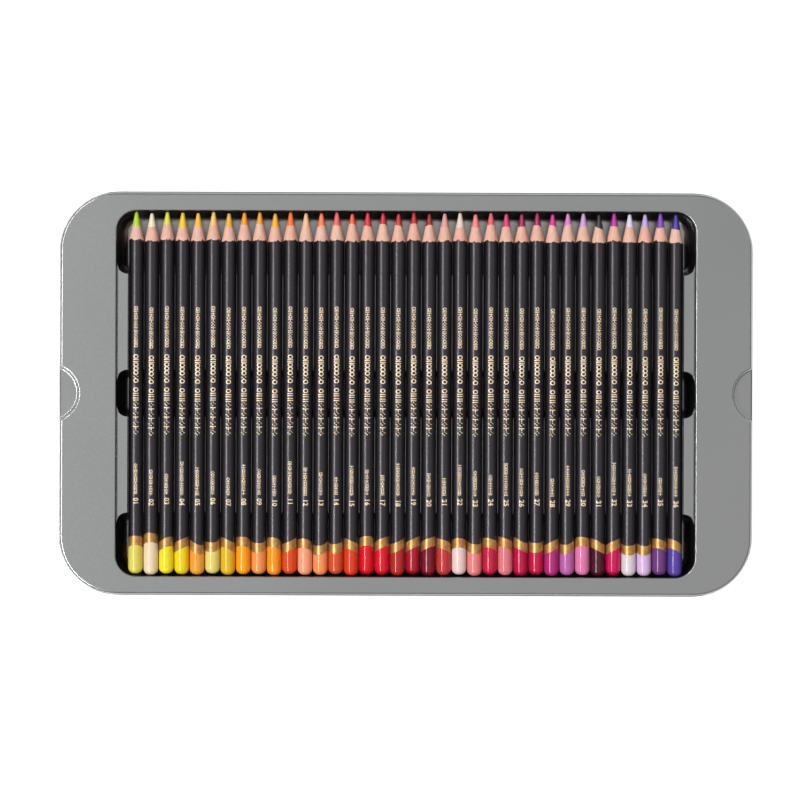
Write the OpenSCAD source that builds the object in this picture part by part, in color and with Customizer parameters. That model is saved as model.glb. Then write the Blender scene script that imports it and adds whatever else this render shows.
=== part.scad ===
// Colored pencil tin with a lift-off lid and two stacked trays, in millimetres.
// X runs along the tin, Y along the pencils with their points toward +Y, Z is up.
// The lid is turned over and the open tin stands inside it, as it is kept while drawing.

// Which piece to draw

/* [Pencils] */
// Number of pencils in one tray
per_tray = 36; // [24:1:40]
// Diameter of the round barrel
pencil_diameter = 7.24; // [6.8:0.02:8]
// Length of a pencil with its sharpened point
pencil_length = 177; // [160:1:190]
// Gap between two neighbouring barrels
pencil_gap = 0.3; // [0.3:0.05:0.8]
// Diameter of the colored core
core_diameter = 3.4; // [2.8:0.1:4]
// Length of the sharpened cone, from the tip to the full barrel
cone_length = 14.2; // [12:0.2:22]
// Diameter of the blunted tip
tip_diameter = 0.8; // [0.6:0.1:1.2]
// Radius of the rounding at the dipped end
end_round = 3; // [1:0.1:3.3]
// Depth of wood and dip left behind the core's blind bore
cap_depth = 1.2; // [0.6:0.1:4]

/* [Tray sheet] */
// Thickness of the formed plastic sheet
sheet = 0.6; // [0.4:0.05:0.9]
// Width of the flat deck at each short end
deck_at_ends = 27.5; // [20:0.5:40]
// Width of the flat deck along each long side
deck_at_sides = 8.7; // [6:0.1:16]
// Radius of the deck's outer shoulder
shoulder = 1.4; // [0.9:0.1:2]
// How far the skirt leans in from shoulder to foot
skirt_lean = 2; // [1.8:0.1:3]
// Gap between the trough floors and what the tray stands on
foot = 1; // [0.5:0.1:4]

/* [Pencil well] */
// Strip of bare land between the last groove and the well's side wall
side_strip = 5.78; // [4:0.02:14]
// Free length beyond each end of the pencils
end_play = 0.8; // [0.8:0.1:4]
// Corner radius of the well seen from above
well_corner = 10; // [8:0.5:14]
// Depth of the pencils' highest line below the deck
pencil_sink = 1; // [0.4:0.1:2]
// Depth of the lands below the deck
land_drop = 7; // [6:0.1:7.6]
// Depth of the raised strips beside the row below the deck
strip_drop = 1.2; // [0.8:0.1:3]
// Channel between a raised strip and the well's side wall
strip_channel = 0.9; // [0.8:0.1:1.5]
// Width of the finger trough across the middle
middle_trough = 23; // [16:1:36]
// Width of the finger troughs under the points and under the dipped ends
end_trough = 31; // [22:1:40]
// Depth of the trough floors below the lands
trough_depth = 8.4; // [6:0.2:12]
// Run of the sloping trough walls, seen from above
trough_slope = 2.2; // [2:0.1:5]
// Radius of the trough's corners beside a land
trough_corner = 5.5; // [5.5:0.1:8]
// Radius where a trough wall meets its floor
trough_fillet = 4; // [0.8:0.1:4.5]

/* [Thumb notches] */
// Radius of the half-moon notch at each short end
notch_radius = 13.5; // [12.5:0.5:18]
// How far the notch reaches in from the tray's edge
notch_reach = 8.9; // [5:0.1:12]
// Depth of the notch floor below the deck
notch_depth = 5; // [2.8:0.1:6]
// Radius where a notch's wall meets its floor
notch_foot = 1.1; // [0.6:0.1:1.2]
// Radius of the rounded lip round a notch
notch_lip = 1.2; // [0.9:0.1:1.5]

/* [Tinplate] */
// Thickness of the tinplate
tinplate = 0.3; // [0.25:0.05:0.6]
// How far the upper deck stands above the tin's rim
deck_stand = 7; // [5:0.5:11]
// Height of the lid's skirt
lid_height = 13; // [12:0.5:24]
// Corner radius of the lid's rim seen from above
tin_corner = 30; // [20:1:36]
// Outer radius of the bend between panel and wall
panel_bend = 2; // [1.2:0.1:3]
// Height of the folded hem round each rim
hem_height = 2.5; // [1.5:0.1:4]

/* [Fits] */
// Side gap between nested pieces
side_gap = 0.3; // [0.3:0.05:0.8]
// Gap between a barrel and its groove
groove_gap = 0.3; // [0.3:0.05:0.6]
// Gap between the core and its bore
core_gap = 0.02; // [0.01:0.01:0.1]

/* [Hidden] */
$fn = 64;
past = 2; // how far a cutter runs past what it cuts
barely = 0.1; // least radius that still makes a face
pad = function (n) str(n < 10 ? "0" : "", n);

// pencils
barrel_r = pencil_diameter / 2;
core_r = core_diameter / 2;
tip_r = tip_diameter / 2;
wood_lip = 0.1; // wall left where the wood ends
taper = (barrel_r - tip_r) / cone_length;
bore_r = core_r + core_gap;
wood_end = pencil_length - (bore_r + wood_lip - tip_r) / taper;
core_shoulder = pencil_length - (core_r - tip_r) / taper;
pitch = pencil_diameter + pencil_gap;
row_width = per_tray * pitch;
groove_r = barrel_r + groove_gap;
axis_drop = pencil_sink + barrel_r;

// tray
well_x = row_width + 2 * side_strip;
well_y = pencil_length + 2 * end_play;
tray_x = well_x + 2 * deck_at_ends;
tray_y = well_y + 2 * deck_at_sides;
land_base = axis_drop + groove_r + sheet; // underside of a land, below the deck
strip_x = row_width / 2 + 0.2; // a strip's side towards the row
strip_width = side_strip - strip_channel - 0.2;
floor_drop = land_drop + trough_depth;
tray_height = floor_drop + sheet + foot;
wall_angle = atan2(trough_depth, trough_slope);
wall_run = sheet / sin(wall_angle); // the sheet's thickness measured level
fillet_run = trough_fillet * tan(wall_angle / 2);
trough_inset = round(100 * (trough_slope + fillet_run)) / 100; // from a trough's rim to its flat floor
inner_corner = max(trough_corner, trough_inset + 0.3);
outer_corner = max(well_corner, inner_corner);
notch_x = tray_x / 2 + notch_radius - notch_reach;

// tin
base_x = tray_x + 2 * (side_gap + 2 * tinplate);
base_y = tray_y + 2 * (side_gap + 2 * tinplate);
base_height = tinplate + 2 * tray_height - deck_stand;
lid_x = base_x + 2 * (side_gap + tinplate);
lid_y = base_y + 2 * (side_gap + tinplate);
lid_corner = tin_corner - tinplate;
base_corner = lid_corner - tinplate - side_gap;
tray_corner = base_corner - 2 * tinplate - side_gap;
base_z = tinplate;
lower_z = base_z + tinplate;
upper_z = lower_z + tray_height;

// A flat plate outline with its own radius at each corner, counted from +X +Y.
module plate(x, y, r) {
  a = x / 2;
  b = y / 2;
  polygon([
    [a, b - r[0]], [a - r[0], b], [r[1] - a, b], [-a, b - r[1]],
    [-a, r[2] - b], [r[2] - a, -b], [a - r[3], -b], [a, r[3] - b]
  ]);
  translate([a - r[0], b - r[0]]) circle(r[0]);
  translate([r[1] - a, b - r[1]]) circle(r[1]);
  translate([r[2] - a, r[2] - b]) circle(r[2]);
  translate([a - r[3], r[3] - b]) circle(r[3]);
}

// Carries a section round a rounded rectangle. In the section x = 0 is the outline and -x is inward.
module round_frame(x, y, r) {
  for (k = [0 : 3]) {
    a = k % 2 == 0 ? x / 2 : y / 2;
    b = k % 2 == 0 ? y / 2 : x / 2;
    rotate([0, 0, 90 * k]) {
      translate([a, b - r[k], 0])
        rotate([90, 0, 0]) linear_extrude(2 * b - r[k] - r[(k + 3) % 4]) children();
      translate([a - r[k], b - r[k], 0])
        rotate_extrude(angle = 90) translate([r[k], 0]) children();
    }
  }
}

function all_round(r) = [r, r, r, r];

// ---- Pencil ----

// Lacquered cedar casing, as half its lengthwise section.
module casing_section() {
  difference() {
    union() {
      translate([0, end_round]) square([barrel_r, pencil_length - cone_length - end_round]);
      square([barrel_r - end_round, end_round]);
      translate([barrel_r - end_round, end_round]) intersection() {
        circle(end_round);
        translate([0, -end_round]) square(end_round);
      }
      polygon([
        [0, pencil_length - cone_length], [barrel_r, pencil_length - cone_length],
        [bore_r + wood_lip, wood_end], [0, wood_end]
      ]);
    }
    translate([0, cap_depth]) square([bore_r, pencil_length]);
  }
}

// Colored core, sharpened to the same cone as the wood.
module core_section() {
  polygon([
    [0, cap_depth + core_gap], [core_r, cap_depth + core_gap], [core_r, core_shoulder],
    [tip_r, pencil_length], [0, pencil_length]
  ]);
}

module pencil() {
  rotate([-90, 0, 0]) {
    rotate_extrude() casing_section();
    rotate_extrude() core_section();
  }
}

// The pencils lie with slightly uneven ends, as they were dropped in.
module pencil_in_row(i, tray_z) {
  slip = 0.45 * end_play * sin(137 * i);
  across = (i - (per_tray + 1) / 2) * pitch;
  translate([across, slip - pencil_length / 2, tray_z + tray_height - axis_drop]) pencil();
}

shades = [
  "khaki", "gold", "orange", "darkorange", "tomato", "red",
  "firebrick", "palevioletred", "crimson", "mediumvioletred", "plum", "rebeccapurple"
];

module loose_pencil(i) {
  color(shades[floor((i - 1) * len(shades) / per_tray)]) pencil_in_row(i, upper_z);
}

module lower_pencils() {
  color("steelblue") for (i = [1 : per_tray]) pencil_in_row(i, lower_z);
}

// ---- Formed tray ----

// Rounded shoulder and leaning skirt.
module skirt_section() {
  translate([-shoulder, tray_height - shoulder]) intersection() {
    difference() {
      circle(shoulder);
      circle(max(shoulder - sheet, barely));
    }
    square(shoulder);
  }
  polygon([
    [0, tray_height - shoulder], [-sheet, tray_height - shoulder],
    [-skirt_lean - sheet, 0], [-skirt_lean, 0]
  ]);
}

// Upright wall of the well, rounded over into the deck.
module well_wall_section() {
  translate([0, tray_height - land_base]) square([sheet, land_base - sheet]);
  translate([sheet, tray_height - sheet]) intersection() {
    circle(sheet);
    translate([-sheet, 0]) square(sheet);
  }
}

// Sloping trough wall with the fillet into its floor; the origin is the land's edge.
module trough_section() {
  centre = [-trough_inset, trough_fillet - trough_depth];
  outward = [sin(wall_angle), -cos(wall_angle)];
  inside = centre + trough_fillet * outward; // where the wall runs into the fillet
  outside = inside + sheet * outward;
  under = -trough_depth - sheet;
  polygon([[0, 0], inside, outside, [wall_run, 0]]);
  difference() {
    polygon([centre, outside, [wall_run + under / tan(wall_angle), under], [centre.x, under]]);
    translate(centre) circle(trough_fillet);
  }
}

// One finger trough, drawn with its rim at z = 0.
module trough(y, r) {
  round_frame(well_x, y, r) trough_section();
  translate([0, 0, -trough_depth - sheet]) linear_extrude(sheet)
    plate(well_x - 2 * trough_inset, y - 2 * trough_inset, [for (c = r) c - trough_inset]);
}

end_trough_y = (well_y - end_trough) / 2;
round_far = [outer_corner, outer_corner, inner_corner, inner_corner];
round_near = [inner_corner, inner_corner, outer_corner, outer_corner];

// Two lands that carry the pencils, with flutes formed up between the grooves.
module lands() {
  reach = well_y - 2 * end_trough + 2 * inner_corner;
  flute_top = land_drop + sheet + 0.2;
  difference() {
    translate([0, 0, tray_height]) rotate([90, 0, 0]) linear_extrude(reach, center = true)
      difference() {
        translate([-(well_x + sheet) / 2, -land_base]) square([well_x + sheet, land_base - land_drop]);
        for (i = [1 : per_tray - 1]) translate([(i - per_tray / 2) * pitch, 0])
          polygon([[-0.3 * barrel_r * 2, -land_base - past], [-0.4, -flute_top],
            [0.4, -flute_top], [0.3 * barrel_r * 2, -land_base - past]]);
      }
    translate([0, 0, tray_height - land_base - past]) {
      linear_extrude(land_base + 2 * past) plate(well_x, middle_trough, all_round(inner_corner));
      translate([0, end_trough_y, 0])
        linear_extrude(land_base + 2 * past) plate(well_x, end_trough, round_far);
      translate([0, -end_trough_y, 0])
        linear_extrude(land_base + 2 * past) plate(well_x, end_trough, round_near);
    }
  }
}

// Plan of the raised strip at the right of the row; inset draws its inner side.
module strip_plan(inset) {
  reach = well_y - 2 * end_trough + 2 * inner_corner;
  x = well_x + 2 * inset;
  difference() {
    translate([strip_x + inset, -reach / 2]) square([strip_width - 2 * inset, reach]);
    plate(x, middle_trough + 2 * inset, all_round(inner_corner + inset));
    translate([0, end_trough_y])
      plate(x, end_trough + 2 * inset, [for (c = round_far) c + inset]);
    translate([0, -end_trough_y])
      plate(x, end_trough + 2 * inset, [for (c = round_near) c + inset]);
  }
}

module raised_strip() {
  translate([0, 0, tray_height - land_base])
    linear_extrude(land_base - strip_drop) strip_plan(0);
}

// The hollow under a raised strip leaves its top and walls one sheet thick.
module strip_hollow() {
  translate([0, 0, tray_height - land_base - past])
    linear_extrude(land_base - strip_drop - sheet + past) strip_plan(sheet + 0.1);
}

// The comb that forms every groove in the lands at once.
module groove_comb() {
  reach = well_y - 2 * end_trough + 2 * past;
  translate([0, 0, tray_height]) rotate([90, 0, 0]) linear_extrude(reach, center = true) {
    for (i = [1 : per_tray]) translate([(i - (per_tray + 1) / 2) * pitch, -axis_drop]) circle(groove_r);
    translate([-row_width / 2, 0.4 - land_drop]) square([row_width, barrel_r]);
  }
}

// Half the section of the cup round a thumb notch, below the deck.
module cup_section() {
  low = notch_depth + sheet;
  foot = notch_foot + sheet;
  translate([0, -low]) square([notch_radius - notch_foot, low - notch_lip]);
  translate([notch_radius - notch_foot, foot - low]) {
    square([foot, low - foot - notch_lip]);
    intersection() {
      circle(foot);
      translate([0, -foot]) square(foot);
    }
  }
  difference() {
    translate([0, -notch_lip]) square([notch_radius + notch_lip, notch_lip]);
    translate([notch_radius + notch_lip, -notch_lip]) circle(max(notch_lip - sheet, barely));
  }
}

// Half the section of the hollow, which opens out over its rounded lip.
module hollow_section() {
  translate([0, -notch_depth]) square([notch_radius - notch_foot, notch_depth + past]);
  translate([notch_radius - notch_foot, notch_foot - notch_depth]) {
    square([notch_foot, notch_depth + past - notch_foot]);
    intersection() {
      circle(notch_foot);
      translate([0, -notch_foot]) square(notch_foot);
    }
  }
  difference() {
    translate([0, -notch_lip]) square([notch_radius + notch_lip, notch_lip + past]);
    translate([notch_radius + notch_lip, -notch_lip]) circle(notch_lip);
  }
}

// The cup ends in line with the deck's edge.
module notch_cup() {
  edge = tray_x / 2;
  low = notch_depth + sheet + past;
  intersection() {
    translate([notch_x, 0, tray_height]) rotate_extrude() cup_section();
    translate([0, 0, tray_height]) rotate([90, 0, 0]) linear_extrude(3 * notch_radius, center = true)
      polygon([
        [edge - notch_reach - past, -low], [edge, -low], [edge, -shoulder],
        [edge - 0.3 * shoulder, -0.3 * shoulder], [edge - shoulder, 0],
        [edge - notch_reach - past, 0]
      ]);
  }
}

module notch_hollow() {
  translate([notch_x, 0, tray_height]) rotate_extrude() hollow_section();
}

module tray() {
  rim = tray_height - land_drop;
  difference() {
    union() {
      round_frame(tray_x, tray_y, all_round(tray_corner)) skirt_section();
      translate([0, 0, tray_height - sheet]) linear_extrude(sheet) difference() {
        plate(tray_x - 2 * shoulder, tray_y - 2 * shoulder, all_round(tray_corner - shoulder));
        plate(well_x + 2 * sheet, well_y + 2 * sheet, all_round(outer_corner + sheet));
      }
      round_frame(well_x, well_y, all_round(outer_corner)) well_wall_section();
      lands();
      raised_strip();
      mirror([1, 0, 0]) raised_strip();
      translate([0, 0, rim]) trough(middle_trough, all_round(inner_corner));
      translate([0, end_trough_y, rim]) trough(end_trough, round_far);
      translate([0, -end_trough_y, rim]) trough(end_trough, round_near);
      notch_cup();
      mirror([1, 0, 0]) notch_cup();
    }
    groove_comb();
    strip_hollow();
    mirror([1, 0, 0]) strip_hollow();
    notch_hollow();
    mirror([1, 0, 0]) notch_hollow();
  }
}

module upper_tray() {
  color("silver") translate([0, 0, upper_z]) tray();
}

module lower_tray() {
  color("silver") translate([0, 0, lower_z]) tray();
}

// ---- Tinplate ----

// Bend and upright wall of a drawn tin half, below its hem.
module drawn_wall_section(h) {
  translate([-panel_bend, panel_bend]) intersection() {
    difference() {
      circle(panel_bend);
      circle(panel_bend - tinplate);
    }
    translate([0, -panel_bend]) square(panel_bend);
  }
  translate([-tinplate, panel_bend]) square([tinplate, h - tinplate - panel_bend]);
}

// Hem folded back on the wall; x is where the fold's middle lies.
module hem_section(h, x) {
  translate([x, h - tinplate]) circle(tinplate);
  translate([x - tinplate, h - hem_height]) square([2 * tinplate, hem_height - tinplate]);
}

module panel(x, y, r) {
  linear_extrude(tinplate)
    plate(x - 2 * panel_bend, y - 2 * panel_bend, all_round(r - panel_bend));
}

module tin_base() {
  color("dimgray") translate([0, 0, base_z]) {
    panel(base_x, base_y, base_corner);
    round_frame(base_x, base_y, all_round(base_corner)) {
      union() {
        drawn_wall_section(base_height);
        hem_section(base_height, -tinplate);
      }
    }
  }
}

module lid() {
  color("gray") {
    panel(lid_x, lid_y, lid_corner);
    round_frame(lid_x, lid_y, all_round(lid_corner)) {
      union() {
        drawn_wall_section(lid_height);
        hem_section(lid_height, 0);
      }
    }
  }
}

lid();
tin_base();
lower_tray();
lower_pencils();
upper_tray();
for (i = [1 : per_tray])
  loose_pencil(i);
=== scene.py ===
import math
import random

import bmesh
import bpy
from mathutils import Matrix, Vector


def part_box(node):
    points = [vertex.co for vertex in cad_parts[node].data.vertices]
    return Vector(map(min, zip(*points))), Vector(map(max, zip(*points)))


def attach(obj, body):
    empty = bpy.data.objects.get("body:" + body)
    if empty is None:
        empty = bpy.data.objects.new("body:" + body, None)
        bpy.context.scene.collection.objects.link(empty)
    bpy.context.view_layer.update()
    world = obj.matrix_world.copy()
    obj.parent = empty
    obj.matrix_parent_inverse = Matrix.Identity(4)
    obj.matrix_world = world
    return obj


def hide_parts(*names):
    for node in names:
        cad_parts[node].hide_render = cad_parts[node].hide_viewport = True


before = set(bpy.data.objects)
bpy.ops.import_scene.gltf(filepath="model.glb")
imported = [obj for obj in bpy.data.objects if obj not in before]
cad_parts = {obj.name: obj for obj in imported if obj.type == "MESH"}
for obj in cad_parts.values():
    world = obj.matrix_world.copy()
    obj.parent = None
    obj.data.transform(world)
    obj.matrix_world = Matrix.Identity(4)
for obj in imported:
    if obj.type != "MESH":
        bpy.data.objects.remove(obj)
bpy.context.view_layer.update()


# ---- Upper tray ------------------------------------------------------------
# The tray is one sheet of silver-grey plastic, vacuum-formed with a well, grooved lands,
# three finger troughs and a thumb notch at each end. Its finish is satin, a little metallic.
WELD = 0.000002  # points nearer to each other than this are one
ONE_FACE = math.radians(0.4)  # triangles that meet flatter than this are one face
CREASE = math.radians(30)  # edges that turn more than this stay sharp
FACE_WEIGHT = 80  # how far the large faces lead when the shading is evened out


def from_display(color):
    """A colour as it is seen, turned by the sRGB curve into the linear values that shaders use."""
    return [c / 12.92 if c <= 0.04045 else ((c + 0.055) / 1.055) ** 2.4 for c in color] + [1.0]


def new_finish(name):
    """A new material with its nodes, its links and the shader that they feed."""
    finish = bpy.data.materials.new(name)
    finish.use_nodes = True
    nodes, links = finish.node_tree.nodes, finish.node_tree.links
    return finish, nodes, links, nodes["Principled BSDF"]


def mottle(nodes, links, scale, low, high, stretch=(1, 1, 1), detail=3.0):
    """A noise on Object coordinates, spread between two values or two colours."""
    place = nodes.new("ShaderNodeTexCoord")
    size = nodes.new("ShaderNodeMapping")
    size.inputs["Scale"].default_value = stretch
    noise = nodes.new("ShaderNodeTexNoise")
    noise.inputs["Scale"].default_value = scale
    noise.inputs["Detail"].default_value = detail
    ramp = nodes.new("ShaderNodeValToRGB")
    for stop, position, level in zip(ramp.color_ramp.elements, (0.3, 0.7), (low, high)):
        stop.position = position
        stop.color = level if isinstance(level, list) else [level, level, level, 1]
    links.new(place.outputs["Object"], size.inputs["Vector"])
    links.new(size.outputs["Vector"], noise.inputs["Vector"])
    links.new(noise.outputs["Fac"], ramp.inputs["Fac"])
    return noise, ramp


def grain(nodes, links, shader, noise, strength, height):
    """Shades a surface as if a noise stood out from it, by a height in metres."""
    bump = nodes.new("ShaderNodeBump")
    bump.inputs["Strength"].default_value = strength
    bump.inputs["Distance"].default_value = height
    links.new(noise.outputs["Fac"], bump.inputs["Height"])
    links.new(bump.outputs["Normal"], shader.inputs["Normal"])


def satin_sheet():
    """Formed plastic with a satin metallic face."""
    finish, nodes, links, shader = new_finish("satin_silver_sheet")
    _, shade = mottle(nodes, links, scale=9, low=from_display((0.59, 0.597, 0.597)),
                      high=from_display((0.61, 0.613, 0.612)))
    links.new(shade.outputs["Color"], shader.inputs["Base Color"])
    speck, gloss = mottle(nodes, links, scale=900, low=0.24, high=0.27, detail=1.0)
    links.new(gloss.outputs["Color"], shader.inputs["Roughness"])
    grain(nodes, links, shader, speck, strength=0.02, height=0.00002)
    shader.inputs["Metallic"].default_value = 1.0
    return finish


def formed_piece(node, name, finish, body):
    """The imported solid's surface with its loose triangles joined and its curves shaded smooth."""
    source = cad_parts[node]
    shape = bmesh.new()
    shape.from_mesh(source.data)
    shape.transform(source.matrix_world)
    bmesh.ops.remove_doubles(shape, verts=shape.verts, dist=WELD)
    bmesh.ops.dissolve_limit(shape, angle_limit=ONE_FACE, verts=shape.verts, edges=shape.edges)
    mesh = bpy.data.meshes.new(name)
    shape.to_mesh(mesh)
    shape.free()
    for left_over in ("custom_normal", "sharp_edge"):
        if left_over in mesh.attributes:
            mesh.attributes.remove(mesh.attributes[left_over])
    mesh.materials.clear()
    mesh.materials.append(finish)
    mesh.shade_smooth()
    mesh.set_sharp_from_angle(angle=CREASE)
    piece = bpy.data.objects.new(name, mesh)
    bpy.context.collection.objects.link(piece)
    even = piece.modifiers.new("even_faces", "WEIGHTED_NORMAL")
    even.keep_sharp = True
    even.weight = FACE_WEIGHT
    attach(piece, body)
    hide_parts(node)


silver_sheet = satin_sheet()
formed_piece("upper_tray", "upper_formed_tray", silver_sheet, "upper_layer")


# ---- Lower tray ------------------------------------------------------------
# The same moulding again, in the same silver-grey plastic sheet. It lies loose on the floor
# of the tin, and the skirt of the upper tray stands on its deck.

formed_piece("lower_tray", "lower_formed_tray", silver_sheet, "lower_layer")


# ---- Tin base and lid ------------------------------------------------------
# Both halves are drawn from thin tinplate with a folded hem round the rim.
# The plate is clear-lacquered and keeps a faint grain along its walls.

def lacquered_tinplate():
    """Plate with its grain drawn out along the walls, under clear lacquer."""
    finish, nodes, links, shader = new_finish("lacquered_tinplate")
    noise, shade = mottle(nodes, links, scale=60, low=from_display((0.66, 0.67, 0.67)),
                          high=from_display((0.74, 0.745, 0.74)), stretch=(0.2, 0.2, 8))
    links.new(shade.outputs["Color"], shader.inputs["Base Color"])
    _, gloss = mottle(nodes, links, scale=40, low=0.29, high=0.36, stretch=(0.2, 0.2, 6))
    links.new(gloss.outputs["Color"], shader.inputs["Roughness"])
    grain(nodes, links, shader, noise, strength=0.08, height=0.00003)
    shader.inputs["Metallic"].default_value = 1.0
    shader.inputs["Coat Weight"].default_value = 0.25
    shader.inputs["Coat Roughness"].default_value = 0.2
    return finish


tinplate = lacquered_tinplate()
formed_piece("tin_base", "tin_base_pan", tinplate, "base")
formed_piece("lid", "upturned_lid", tinplate, "lid")


# ---- Pencils of the upper layer --------------------------------------------
# Each is a round cedar casing round a colored core, lacquered black and sharpened to a long cone.
# The other end was dipped twice at a slant, first in gold and then in the pencil's own color,
# and the barrel is stamped in gold foil, here with a plain ornament and the pencil's place number.

LENGTH = 0.177
BARREL = 0.00362  # radius
END_ROUND = 0.003  # rounding of the dipped end
CONE = 0.0142  # length that the sharpener cuts
TIP = 0.00068  # radius of the point
WOOD_ENDS = 0.0063  # from the point to where the core leaves the wood
CAP_EDGE = 0.0121  # from the dipped end to the edge of the coloured dip
BAND_EDGE = 0.0167  # from the dipped end to the edge of the gold dip
DIP_SLANT = 0.0018  # how far both edges rise on one side
DIP_VARIES = 0.0006  # how far the dips differ from pencil to pencil
DEEPER_DIP = 0.0022  # how much longer both dips are on pencil 2
BAND_WAVE = 0.00012  # height of the waves in the edge of the gold dip
EDGE_START = 0.0001  # how far at least the black lacquer reaches on to the cone
EDGE_WANDER = 0.0012  # how much further its cut edge wanders
WOOD_VARIES = (-0.0006, 0.0010)  # added to WOOD_ENDS
CORE_SLANTS = (0.0001, 0.0009)  # how far the wood's edge lies aslant
WOOD_RAGGED = 0.0001  # roughness of the wood's edge
ANY_TURN = (0, 6.28)  # radians, nearly a full turn
POINT_RING = 0.0003  # from the point to the ring where it is rounded off
LAST_RING = 0.00005  # from the point to the last ring
LAST_SHARE = 0.6  # radius of the last ring, as a share of the point's
CEDAR_COLOR = (0.95, 0.745, 0.665)
CEDAR_VARIES = 0.025  # how much paler or darker the wood is
FIRST_SEED = 500
BARREL_FACETS = 40
PENCIL_CREASE = math.radians(11.5)  # edges that turn more than this stay sharp

UPPER_COLORS = [  # core, dipped end
    ((.70, .85, .10), (.88, .82, .35)), ((.95, .92, .75), (.93, .83, .70)),
    ((.88, .88, .25), (.95, .88, .05)), ((.98, .80, .02), (.95, .82, .05)),
    ((1, .75, .15), (.94, .62, .18)), ((.97, .78, .40), (.91, .83, .45)),
    ((.93, .72, .20), (.88, .70, .10)), ((1, .62, .05), (.99, .62, .02)),
    ((.95, .62, .08), (.93, .58, .30)), ((1, .70, .08), (.97, .58, .02)),
    ((1, .45, .10), (.88, .28, .05)), ((.98, .75, .55), (.97, .62, .47)),
    ((1, .50, .28), (.99, .56, .33)), ((.93, .40, .35), (.83, .30, .13)),
    ((1, .36, .16), (.86, .22, .06)), ((.88, .13, .17), (.85, .02, .10)),
    ((.83, .05, .15), (.86, .03, .15)), ((.78, .15, .13), (.70, .15, .13)),
    ((.75, .08, .15), (.65, .02, .13)), ((.60, .07, .10), (.48, .04, .13)),
    ((.90, .62, .60), (.76, .20, .20)), ((.93, .84, .78), (.92, .80, .78)),
    ((.98, .52, .50), (.91, .50, .49)), ((.93, .36, .42), (.76, .08, .25)),
    ((.85, .18, .42), (.88, .47, .50)), ((.60, .03, .30), (.72, .00, .26)),
    ((.62, .02, .33), (.76, .05, .27)), ((.86, .15, .55), (.68, .15, .45)),
    ((.88, .50, .82), (.72, .38, .65)), ((.82, .62, .85), (.88, .47, .66)),
    ((.14, .06, .07), (.28, .03, .12)), ((.72, .12, .60), (.80, .02, .32)),
    ((.90, .85, .93), (.87, .81, .84)), ((.76, .66, .88), (.84, .70, .86)),
    ((.50, .25, .70), (.42, .22, .47)), ((.26, .16, .62), (.34, .24, .62)),
]
DIP_TURNS = [  # degrees from the top of the barrel to the side where each dip is longest
    0, 0, 45, 70, -130, 165, -65, -20, 170, -30, 95, -25, 150, 170, -60, 0, 60, 110,
    70, 55, -50, 0, -170, -30, -50, -90, 170, 95, 150, -10, -90, 80, 180, 180, -40, -70,
]


def black_lacquer():
    """Black lacquer, with its gloss drawn out along the barrel."""
    finish, nodes, links, shader = new_finish("black_lacquer")
    _, shade = mottle(nodes, links, scale=300, low=from_display((0.02, 0.016, 0.03)),
                      high=from_display((0.035, 0.03, 0.048)))
    links.new(shade.outputs["Color"], shader.inputs["Base Color"])
    fine, gloss = mottle(nodes, links, scale=1400, low=0.34, high=0.40, stretch=(1, 0.35, 1))
    links.new(gloss.outputs["Color"], shader.inputs["Roughness"])
    grain(nodes, links, shader, fine, strength=0.02, height=0.00002)
    shader.inputs["Specular IOR Level"].default_value = 0.5
    shader.inputs["Specular Tint"].default_value = from_display((1.0, 0.96, 1.0))
    shader.inputs["Coat Weight"].default_value = 0.3
    shader.inputs["Coat Roughness"].default_value = 0.15
    return finish


def gold_dip():
    """Gold paint, a little uneven in its colour."""
    finish, nodes, links, shader = new_finish("gold_dip")
    noise, shade = mottle(nodes, links, scale=500, low=from_display((0.66, 0.47, 0.26)),
                          high=from_display((0.78, 0.59, 0.36)))
    links.new(shade.outputs["Color"], shader.inputs["Base Color"])
    shader.inputs["Metallic"].default_value = 0.7
    shader.inputs["Roughness"].default_value = 0.38
    grain(nodes, links, shader, noise, strength=0.08, height=0.00003)
    return finish


def foil_stamp():
    """Gold foil, paler than the gold dip."""
    finish, nodes, links, shader = new_finish("foil_stamp")
    _, shade = mottle(nodes, links, scale=1800, low=from_display((0.84, 0.71, 0.51)),
                      high=from_display((1.0, 0.94, 0.83)))
    links.new(shade.outputs["Color"], shader.inputs["Base Color"])
    shader.inputs["Metallic"].default_value = 0.2
    shader.inputs["Roughness"].default_value = 0.45
    return finish


def tinted(name, scale, stretch, dark, roughness, shine, coat, depth):
    """A finish whose colour is the pencil's own, kept on the mesh as pencil_color."""
    finish, nodes, links, shader = new_finish(name)
    own = nodes.new("ShaderNodeAttribute")
    own.attribute_name = "pencil_color"
    noise, shade = mottle(nodes, links, scale, low=dark, high=1.0, stretch=stretch, detail=4.0)
    blend = nodes.new("ShaderNodeMix")
    blend.data_type = "RGBA"
    blend.blend_type = "MULTIPLY"
    blend.inputs["Factor"].default_value = 1.0
    color_a, color_b, color_result = blend.inputs[6], blend.inputs[7], blend.outputs[2]
    links.new(own.outputs["Color"], color_a)
    links.new(shade.outputs["Color"], color_b)
    links.new(color_result, shader.inputs["Base Color"])
    shader.inputs["Roughness"].default_value = roughness
    shader.inputs["Specular IOR Level"].default_value = shine
    shader.inputs["Coat Weight"].default_value = coat
    shader.inputs["Coat Roughness"].default_value = 0.08
    grain(nodes, links, shader, noise, strength=0.25, height=depth)
    return finish


pencil_finishes = [
    tinted("dipped_end", scale=700, stretch=(1, 1, 1), dark=0.94,
           roughness=0.2, shine=0.15, coat=0.5, depth=0.00001),
    gold_dip(),
    black_lacquer(),
    tinted("cedar", scale=1300, stretch=(1, 0.08, 1), dark=0.80,
           roughness=0.6, shine=0.3, coat=0.0, depth=0.00006),
    tinted("colored_core", scale=1500, stretch=(1, 1, 1), dark=0.86,
           roughness=0.45, shine=0.7, coat=0.3, depth=0.00005),
    foil_stamp(),
]
DIPPED, GOLD, BLACK, CEDAR, CORE, FOIL = range(6)


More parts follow.
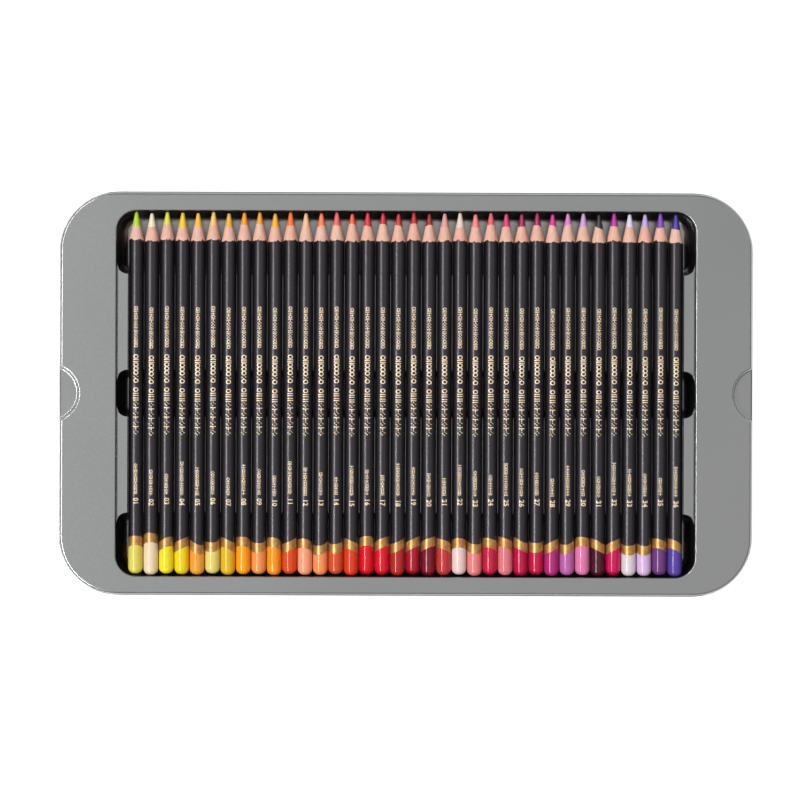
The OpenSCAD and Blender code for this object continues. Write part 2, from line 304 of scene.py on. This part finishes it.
FOIL_STROKE = 0.00046  # width of a stamped line
FOIL_TURN = 0.04  # radians round the barrel from its top to the middle of the stamp
FOIL_WIDEN = 1.15  # marks are stretched across the barrel
FOIL_FLATTEN = 0.1  # thickness of a mark, as a share of the stroke


def foil_tree():
    """Rings, lozenges, pairs of bars, crosses and stemmed bars in a row, wrapped round the barrel."""
    tree = bpy.data.node_groups.new("foil_ornament", "GeometryNodeTree")
    sockets = {}
    for label, kind, usual in (
        ("Start", "NodeSocketFloat", 0.11),
        ("Pitch", "NodeSocketFloat", 0.002),
        ("Count", "NodeSocketInt", 7),
        ("Size", "NodeSocketFloat", 1.0),
        ("Seed", "NodeSocketInt", 1),
        ("Barrel Radius", "NodeSocketFloat", BARREL),
        ("Turn", "NodeSocketFloat", FOIL_TURN),
        ("Stroke", "NodeSocketFloat", FOIL_STROKE),
    ):
        item = tree.interface.new_socket(label, in_out="INPUT", socket_type=kind)
        item.default_value = usual
        sockets[label] = item.identifier
    tree.interface.new_socket("Foil", in_out="OUTPUT", socket_type="NodeSocketGeometry")
    nodes, links = tree.nodes, tree.links
    given = nodes.new("NodeGroupInput")
    out = nodes.new("NodeGroupOutput")

    def feed(socket, given_value):
        if isinstance(given_value, (int, float)):
            socket.default_value = given_value
        else:
            links.new(given_value, socket)

    def value(kind, a, b=None):
        node = nodes.new("ShaderNodeMath")
        node.operation = kind
        for socket, v in zip(node.inputs, (a, b)):
            if v is not None:
                feed(socket, v)
        return node.outputs[0]

    def vector(x, y, z):
        node = nodes.new("ShaderNodeCombineXYZ")
        for socket, v in zip(node.inputs, (x, y, z)):
            feed(socket, v)
        return node.outputs[0]

    stroke = given.outputs["Stroke"]

    def loop(corners, radius):
        path = nodes.new("GeometryNodeCurvePrimitiveCircle")
        path.inputs["Resolution"].default_value = corners
        path.inputs["Radius"].default_value = radius
        rod = nodes.new("GeometryNodeCurvePrimitiveQuadrilateral")
        links.new(stroke, rod.inputs["Width"])
        links.new(stroke, rod.inputs["Height"])
        made = nodes.new("GeometryNodeCurveToMesh")
        links.new(path.outputs["Curve"], made.inputs["Curve"])
        links.new(rod.outputs["Curve"], made.inputs["Profile Curve"])
        return made.outputs["Mesh"]

    def bar(across, along, shift=0.0, cuts=6):
        made = nodes.new("GeometryNodeMeshCube")
        made.inputs["Vertices X"].default_value = cuts
        links.new(vector(across, along, stroke), made.inputs["Size"])
        moved = nodes.new("GeometryNodeTransform")
        links.new(made.outputs["Mesh"], moved.inputs["Geometry"])
        moved.inputs["Translation"].default_value = (0, shift, 0)
        return moved.outputs["Geometry"]

    shapes = nodes.new("GeometryNodeJoinGeometry")
    ring = (loop(corners=14, radius=0.00088),)
    lozenge = (loop(corners=4, radius=0.00098),)
    two_bars = (bar(0.0024, stroke, shift=-0.0005), bar(0.0024, stroke, shift=0.0005))
    cross = (bar(0.0022, stroke), bar(stroke, 0.0017, cuts=2))
    stemmed_bar = (bar(0.0024, stroke, shift=0.0004), bar(stroke, 0.0012, shift=-0.0002, cuts=2))
    for parts in (ring, lozenge, two_bars, cross, stemmed_bar):
        group = nodes.new("GeometryNodeJoinGeometry")
        for part in parts:
            links.new(part, group.inputs["Geometry"])
        single = nodes.new("GeometryNodeGeometryToInstance")
        links.new(group.outputs["Geometry"], single.inputs["Geometry"])
        links.new(single.outputs["Instances"], shapes.inputs["Geometry"])

    row = nodes.new("GeometryNodeMeshLine")
    links.new(given.outputs["Count"], row.inputs["Count"])
    links.new(vector(0, given.outputs["Start"], 0), row.inputs["Start Location"])
    links.new(vector(0, value("MULTIPLY", given.outputs["Pitch"], -1.0), 0), row.inputs["Offset"])
    choice = nodes.new("FunctionNodeRandomValue")
    choice.data_type = "INT"
    first_shape, last_shape, chosen = choice.inputs[4], choice.inputs[5], choice.outputs[2]
    first_shape.default_value = 0
    last_shape.default_value = 4
    links.new(given.outputs["Seed"], choice.inputs["Seed"])
    stamp = nodes.new("GeometryNodeInstanceOnPoints")
    stamp.inputs["Pick Instance"].default_value = True
    links.new(row.outputs["Mesh"], stamp.inputs["Points"])
    links.new(shapes.outputs["Geometry"], stamp.inputs["Instance"])
    links.new(chosen, stamp.inputs["Instance Index"])
    size = given.outputs["Size"]
    links.new(vector(value("MULTIPLY", size, FOIL_WIDEN), size, FOIL_FLATTEN), stamp.inputs["Scale"])
    real = nodes.new("GeometryNodeRealizeInstances")
    links.new(stamp.outputs["Instances"], real.inputs["Geometry"])
    where = nodes.new("GeometryNodeInputPosition")
    split = nodes.new("ShaderNodeSeparateXYZ")
    links.new(where.outputs["Position"], split.inputs[0])
    round_barrel = value("DIVIDE", split.outputs["X"], given.outputs["Barrel Radius"])
    angle = value("ADD", round_barrel, given.outputs["Turn"])
    away = value("ADD", given.outputs["Barrel Radius"], split.outputs["Z"])
    wrap = nodes.new("GeometryNodeSetPosition")
    links.new(real.outputs["Geometry"], wrap.inputs["Geometry"])
    links.new(vector(value("MULTIPLY", away, value("SINE", angle)), split.outputs["Y"],
                 value("MULTIPLY", away, value("COSINE", angle))), wrap.inputs["Position"])
    paint = nodes.new("GeometryNodeSetMaterial")
    paint.inputs["Material"].default_value = pencil_finishes[FOIL]
    links.new(wrap.outputs["Geometry"], paint.inputs["Geometry"])
    links.new(paint.outputs["Geometry"], out.inputs["Foil"])
    return tree, sockets


ornament_tree, ornament_sockets = foil_tree()


def foil_rows(rows):
    """A row is its start, its pitch, how many marks it has, their size and the seed that picks them."""
    points, faces = [], []
    for row in rows:
        holder = bpy.data.objects.new("foil_row", bpy.data.meshes.new("foil_row"))
        bpy.context.collection.objects.link(holder)
        work = holder.modifiers.new("foil_ornament", "NODES")
        work.node_group = ornament_tree
        for label, v in zip(("Start", "Pitch", "Count", "Size", "Seed"), row):
            work[ornament_sockets[label]] = v
        scene_now = bpy.context.evaluated_depsgraph_get()
        made = bpy.data.meshes.new_from_object(holder.evaluated_get(scene_now))
        base = len(points)
        points += [v.co.copy() for v in made.vertices]
        faces += [[base + k for k in p.vertices] for p in made.polygons]
        bpy.data.objects.remove(holder)
    return points, faces


DIGIT_SIZE = 0.0034
DIGITS_START = 0.0372  # from the dipped end
DIGIT_THICKNESS = 0.00002
DIGIT_SWELL = 0.00007  # makes the strokes bolder
CUTS = 6  # on each side of the middle cut
CUT_STEP = 0.00025
CUT_SHIFT = 0.00006  # from the middle of the digits to the middle cut


def place_number(number):
    """The plain digits of a pencil's place, reading down the barrel."""
    words = bpy.data.curves.new("place_number", "FONT")
    words.body = f"{number:02d}"
    words.size = DIGIT_SIZE
    words.extrude = DIGIT_THICKNESS
    words.resolution_u = 2
    words.offset = DIGIT_SWELL
    words.align_y = "CENTER"
    holder = bpy.data.objects.new("place_number", words)
    bpy.context.collection.objects.link(holder)
    scene_now = bpy.context.evaluated_depsgraph_get()
    made = bpy.data.meshes.new_from_object(holder.evaluated_get(scene_now))
    shape = bmesh.new()
    shape.from_mesh(made)
    bmesh.ops.remove_doubles(shape, verts=shape.verts, dist=WELD / 2)
    for k in range(-CUTS, CUTS + 1):  # cut across, so that wide strokes follow the round of the barrel
        bmesh.ops.bisect_plane(shape, geom=[*shape.verts, *shape.edges, *shape.faces], dist=1e-7,
                               plane_co=(0, CUT_STEP * k + CUT_SHIFT, 0), plane_no=(0, 1, 0))
    bmesh.ops.dissolve_degenerate(shape, dist=WELD, edges=shape.edges)
    points = []
    for v in shape.verts:
        angle = v.co.y / BARREL + FOIL_TURN
        radius = BARREL + v.co.z
        points.append(Vector((radius * math.sin(angle), DIGITS_START - v.co.x, radius * math.cos(angle))))
    shape.verts.index_update()
    faces = [[v.index for v in f.verts] for f in shape.faces]
    shape.free()
    bpy.data.objects.remove(holder)
    return points, faces


def pencil_parts(number, core, dip, turn, around):
    """Rings of points from the dipped end to the tip, joined into strips.

    Each entry of bands is the finish of the strip after that ring.
    """
    chance = random.Random(FIRST_SEED + number)
    steps = [2 * math.pi * k / around for k in range(around)]
    slope = (BARREL - TIP) / CONE
    lift = chance.uniform(-DIP_VARIES, DIP_VARIES) + (DEEPER_DIP if number == 2 else 0)
    core_turn = chance.uniform(*ANY_TURN)
    core_slant = chance.uniform(*CORE_SLANTS)
    core_length = WOOD_ENDS + chance.uniform(*WOOD_VARIES)
    ragged = [chance.random() for _ in steps]
    phase = chance.uniform(*ANY_TURN)

    def on_profile(y):
        from_point = LENGTH - y
        return BARREL if from_point >= CONE else TIP + slope * from_point

    rings, bands = [], []
    end_steps = 4
    for k in range(end_steps + 1):
        angle = math.pi / 2 * k / end_steps
        radius = BARREL - END_ROUND + END_ROUND * math.sin(angle)
        rings.append([(radius, END_ROUND * (1 - math.cos(angle)))] * around)
        bands.append(DIPPED)
    slant = [math.cos(s - math.radians(turn)) * DIP_SLANT for s in steps]
    rings.append([(BARREL, CAP_EDGE + lift + s) for s in slant])
    bands.append(GOLD)
    wave = [BAND_WAVE * math.sin(3 * s + phase) for s in steps]
    rings.append([(BARREL, BAND_EDGE + lift + s + w) for s, w in zip(slant, wave)])
    bands.append(BLACK)
    rings.append([(BARREL, LENGTH - CONE)] * around)
    bands.append(BLACK)
    wander = [EDGE_WANDER * g * (0.6 + 0.4 * math.sin(5 * s + phase)) for g, s in zip(ragged, steps)]
    edge = [LENGTH - CONE + EDGE_START + w for w in wander]
    rings.append([(on_profile(y), y) for y in edge])
    bands.append(CEDAR)
    meet = [LENGTH - core_length + core_slant * math.cos(s - core_turn) + WOOD_RAGGED * g
            for g, s in zip(ragged, steps)]
    rings.append([(on_profile(y), y) for y in meet])
    bands.append(CORE)
    rings.append([(on_profile(LENGTH - POINT_RING), LENGTH - POINT_RING)] * around)
    bands.append(CORE)
    rings.append([(TIP * LAST_SHARE, LENGTH - LAST_RING)] * around)
    bands.append(CORE)

    points = [Vector((r * math.sin(s), y, r * math.cos(s)))
              for ring in rings for (r, y), s in zip(ring, steps)]
    faces, slots = [], []
    for i in range(len(rings) - 1):
        for k in range(around):
            j = (k + 1) % around
            here, after = i * around, (i + 1) * around
            faces.append([here + k, after + k, after + j, here + j])
            slots.append(bands[i])
    end, tip = len(points), len(points) + 1
    points += [Vector((0, 0, 0)), Vector((0, LENGTH, 0))]
    last = (len(rings) - 1) * around
    for k in range(around):
        j = (k + 1) % around
        faces.append([end, k, j])
        slots.append(DIPPED)
        faces.append([tip, last + j, last + k])
        slots.append(CORE)
    pale = chance.uniform(-CEDAR_VARIES, CEDAR_VARIES)
    red, green, blue = CEDAR_COLOR
    wood = (red, green + pale, blue + pale)
    return points, faces, slots, {DIPPED: dip, CORE: core, CEDAR: wood}


def pencil_mesh(name, batches):
    """Joins parts, each given with its place, into one mesh that keeps each face's finish and colour."""
    points, faces, slots, colors = [], [], [], []
    for part_points, part_faces, part_slots, part_colors, place in batches:
        base = len(points)
        points += [p + place for p in part_points]
        faces += [[base + k for k in f] for f in part_faces]
        slots += part_slots
        colors += [from_display(part_colors.get(s, (1, 1, 1))) for s in part_slots]
    mesh = bpy.data.meshes.new(name)
    mesh.from_pydata(points, [], faces)
    for finish in pencil_finishes:
        mesh.materials.append(finish)
    mesh.polygons.foreach_set("material_index", slots)
    own = mesh.attributes.new("pencil_color", "FLOAT_COLOR", "CORNER")
    spread = []
    for face, color in zip(mesh.polygons, colors):
        spread += list(color) * face.loop_total
    own.data.foreach_set("color", spread)
    shape = bmesh.new()
    shape.from_mesh(mesh)
    bmesh.ops.recalc_face_normals(shape, faces=shape.faces)
    shape.to_mesh(mesh)
    shape.free()
    mesh.shade_smooth()
    mesh.set_sharp_from_angle(angle=PENCIL_CREASE)
    return mesh


long_rows = foil_rows((
    (0.1300, 0.00143, 14, 0.72, 3),
    (0.1062, 0.00196, 7, 1.0, 8),
    (0.0900, 0.0023, 10, 1.0, 15),
))
SHORT_ROW_END = 0.0395  # from the dipped end
SHORT_ROW_PITCH = 0.00125
SHORT_ROW_SIZE = 0.66
SHORT_ROW_SEED = 30
for number, ((core, dip), turn) in enumerate(zip(UPPER_COLORS, DIP_TURNS), start=1):
    node = f"pencil_{number:02d}"
    low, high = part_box(node)
    place = Vector(((low[0] + high[0]) / 2, low[1], (low[2] + high[2]) / 2))
    body = pencil_parts(number, core, dip, turn, BARREL_FACETS)
    digits = place_number(number)
    count = 7 + (number * 5) % 7  # the short row under the long ones differs from pencil to pencil
    start = SHORT_ROW_END + SHORT_ROW_PITCH * (count - 1)
    short_row = foil_rows(((start, SHORT_ROW_PITCH, count, SHORT_ROW_SIZE, SHORT_ROW_SEED + number),))
    mesh = pencil_mesh(f"colored_{node}", [
        (*body, place),
        *((*foil, [FOIL] * len(foil[1]), {}, place) for foil in (long_rows, short_row, digits)),
    ])
    piece = bpy.data.objects.new(f"colored_{node}", mesh)
    bpy.context.collection.objects.link(piece)
    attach(piece, node)
    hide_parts(node)


# ---- Pencils of the lower layer --------------------------------------------
# The same pencils in the cool half of the range, from blue through green and brown to grey.
# They lie closed in under the upper tray, so they are one piece with less detail.

LOWER_COLORS = [
    (.25, .22, .60), (.10, .22, .62), (.12, .45, .78), (.40, .70, .85), (.10, .60, .62), (.08, .50, .32),
    (.40, .68, .25), (.55, .60, .22), (.60, .45, .22), (.42, .25, .15), (.45, .44, .43), (.12, .12, .13),
]
LOWER_PENCILS = 36
LOWER_FACETS = 18
LOWER_SEEDS = 40  # after those of the upper pencils
END_SLIP = 0.00036  # how far at most a pencil lies off centre along its groove
SLIP_STEP = 137  # degrees from one pencil to the next
TURN_STEP = 97  # degrees from one pencil to the next
low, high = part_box("lower_pencils")
pitch = (high[0] - low[0] - 2 * BARREL) / (LOWER_PENCILS - 1)
batches = []
for number in range(1, LOWER_PENCILS + 1):
    at = (number - 1) / (LOWER_PENCILS - 1) * (len(LOWER_COLORS) - 1)
    k = min(int(at), len(LOWER_COLORS) - 2)
    dip = tuple(a + (b - a) * (at - k) for a, b in zip(LOWER_COLORS[k], LOWER_COLORS[k + 1]))
    slip = END_SLIP * math.sin(math.radians(SLIP_STEP * number))
    turn = (number * TURN_STEP) % 360
    place = Vector((low[0] + BARREL + (number - 1) * pitch, slip - LENGTH / 2, (low[2] + high[2]) / 2))
    batches.append((*pencil_parts(number + LOWER_SEEDS, dip, dip, turn, LOWER_FACETS), place))
    batches.append((*long_rows, [FOIL] * len(long_rows[1]), {}, place))
lower_row = bpy.data.objects.new("lower_row_of_pencils", pencil_mesh("lower_row_of_pencils", batches))
bpy.context.collection.objects.link(lower_row)
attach(lower_row, "lower_row")
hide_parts("lower_pencils")


# ---- Floor, light and camera -----------------------------------------------
# A plain pale floor, two narrow lamps end to end a little left of overhead, and broad soft light.
# The camera looks straight down through a long lens.

REACH = 4  # metres from the middle of the floor to its edge
FLOOR_GLOW = 0.74
MIRRORED_WALLS = 0.3
floor_mesh = bpy.data.meshes.new("floor")
floor_corners = [(-REACH, -REACH, 0), (REACH, -REACH, 0), (REACH, REACH, 0), (-REACH, REACH, 0)]
floor_mesh.from_pydata(floor_corners, [], [(0, 1, 2, 3)])
floor = bpy.data.objects.new("floor", floor_mesh)
bpy.context.collection.objects.link(floor)
finish, nodes, links, shader = new_finish("pale_floor")
_, shade = mottle(nodes, links, scale=3, low=from_display((0.93, 0.93, 0.93)),
                  high=from_display((0.95, 0.95, 0.95)))
links.new(shade.outputs["Color"], shader.inputs["Base Color"])
shader.inputs["Roughness"].default_value = 0.9
path = nodes.new("ShaderNodeLightPath")
seen = nodes.new("ShaderNodeMath")
seen.operation = "MAXIMUM"
links.new(path.outputs["Is Camera Ray"], seen.inputs[0])
links.new(path.outputs["Is Glossy Ray"], seen.inputs[1])
lift = nodes.new("ShaderNodeMath")  # a glow that only the camera and mirrored rays see
lift.operation = "MULTIPLY"
lift.inputs[1].default_value = FLOOR_GLOW
links.new(seen.outputs[0], lift.inputs[0])
links.new(lift.outputs[0], shader.inputs["Emission Strength"])
shader.inputs["Emission Color"].default_value = (1, 1, 1, 1)
floor_mesh.materials.append(finish)

world = bpy.data.worlds.new("studio")
bpy.context.scene.world = world
world.use_nodes = True
nodes, links = world.node_tree.nodes, world.node_tree.links
sky = nodes["Background"]
sky.inputs["Color"].default_value = (1, 1, 1, 1)
way = nodes.new("ShaderNodeTexCoord")
split = nodes.new("ShaderNodeSeparateXYZ")
height = nodes.new("ShaderNodeMapRange")  # a bright ceiling over dark walls
height.inputs["From Min"].default_value = 0.45
height.inputs["From Max"].default_value = 0.97
height.inputs["To Min"].default_value = 0.0
height.inputs["To Max"].default_value = 0.76
height.interpolation_type = "SMOOTHSTEP"
path = nodes.new("ShaderNodeLightPath")
level = nodes.new("ShaderNodeMix")
links.new(way.outputs["Generated"], split.inputs[0])
links.new(split.outputs["Z"], height.inputs["Value"])
links.new(path.outputs["Is Camera Ray"], level.inputs["Factor"])
mirrored = nodes.new("ShaderNodeMath")  # walls that surfaces mirror are paler than the walls that light them
mirrored.operation = "MULTIPLY"
mirrored.inputs[1].default_value = MIRRORED_WALLS
links.new(path.outputs["Is Glossy Ray"], mirrored.inputs[0])
links.new(mirrored.outputs[0], height.inputs["To Min"])
links.new(height.outputs["Result"], level.inputs["A"])
level.inputs["B"].default_value = 1.0
soft = nodes.new("ShaderNodeMapRange")  # scattered light is a little dimmer than mirrored light
soft.inputs["To Min"].default_value = 1.0
soft.inputs["To Max"].default_value = 0.86
links.new(path.outputs["Is Diffuse Ray"], soft.inputs["Value"])
strength = nodes.new("ShaderNodeMath")
strength.operation = "MULTIPLY"
links.new(level.outputs["Result"], strength.inputs[0])
links.new(soft.outputs["Result"], strength.inputs[1])
links.new(strength.outputs[0], sky.inputs["Strength"])


def soft_lamp(name, place, aim, length, width, power):
    """A rectangular lamp, turned from its place towards a point on the floor."""
    lamp = bpy.data.lights.new(name, "AREA")
    lamp.shape = "RECTANGLE"
    lamp.size = length
    lamp.size_y = width
    lamp.energy = power
    holder = bpy.data.objects.new(name, lamp)
    holder.location = place
    holder.rotation_euler = (Vector(aim) - Vector(place)).to_track_quat("-Z", "Y").to_euler()
    bpy.context.collection.objects.link(holder)


soft_lamp("far_lamp", place=(-2.75, 2.35, 5.4), aim=(0, 2.35, 0), length=4.5, width=0.45, power=118)
soft_lamp("near_lamp", place=(-3.0, -2.2, 5.4), aim=(0, -2.2, 0), length=4.6, width=0.45, power=285)
soft_lamp("broad_lamp", place=(3.4, 2.4, 5.0), aim=(0, 0.6, 0), length=4.0, width=2.0, power=24)

lens = bpy.data.cameras.new("camera")
lens.sensor_width = 36
lens.lens = 165.6
camera = bpy.data.objects.new("camera", lens)
camera.location = (-0.00277, -0.0029, 1.831)
camera.rotation_euler = (0, 0, math.radians(0.2))
bpy.context.collection.objects.link(camera)
bpy.context.scene.camera = camera
bpy.context.scene.view_settings.view_transform = "Standard"
